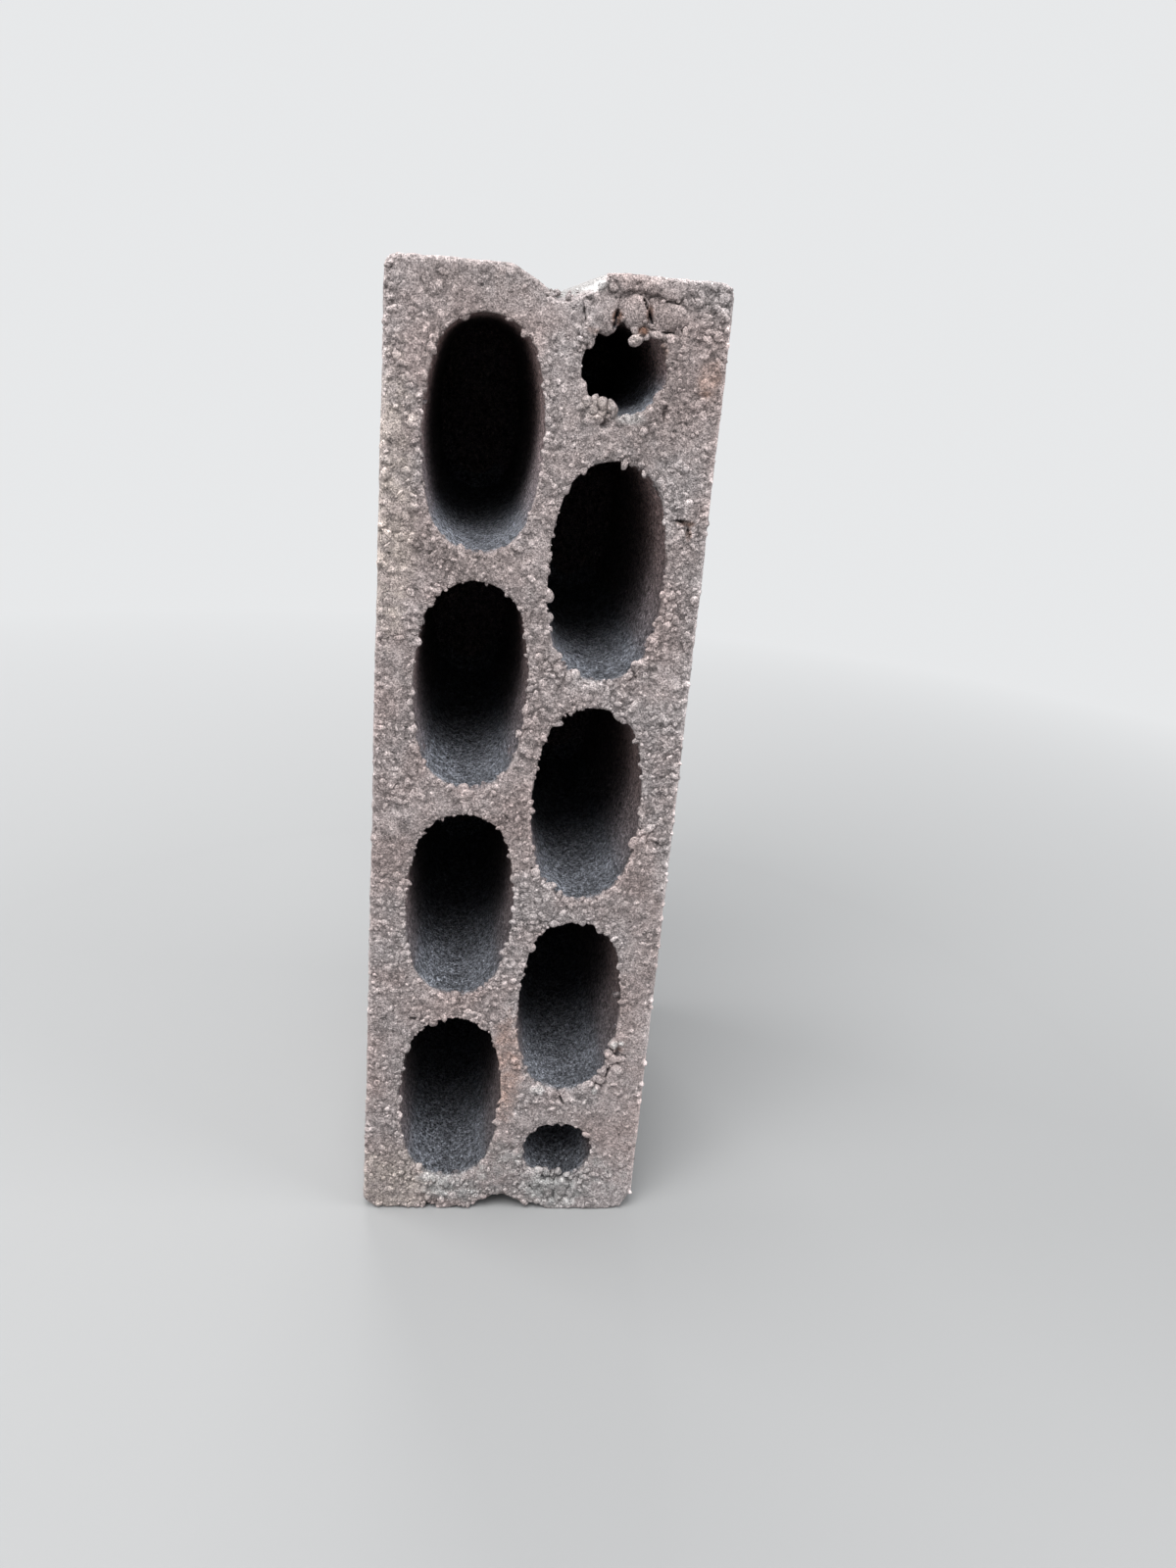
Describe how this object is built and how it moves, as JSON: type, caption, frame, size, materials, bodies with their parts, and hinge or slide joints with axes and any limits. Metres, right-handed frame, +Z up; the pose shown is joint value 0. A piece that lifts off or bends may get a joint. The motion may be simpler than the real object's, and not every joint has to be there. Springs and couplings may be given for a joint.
{
  "type": "hollow concrete block",
  "caption": "Hollow pressed-concrete building block standing on its end, with staggered blind oval and round voids and a mortar groove down each end.",
  "frame": {"origin": "middle of the end that the block stands on", "axes": "+Z up along the block's length, -Y out of the open face with the voids, +X across its width"},
  "size_m": [0.12, 0.188, 0.39],
  "materials": {
    "concrete": "coarse open-textured pressed concrete"
  },
  "bodies": {
    "root": {"concrete_block": "concrete"}
  },
  "joints": []
}
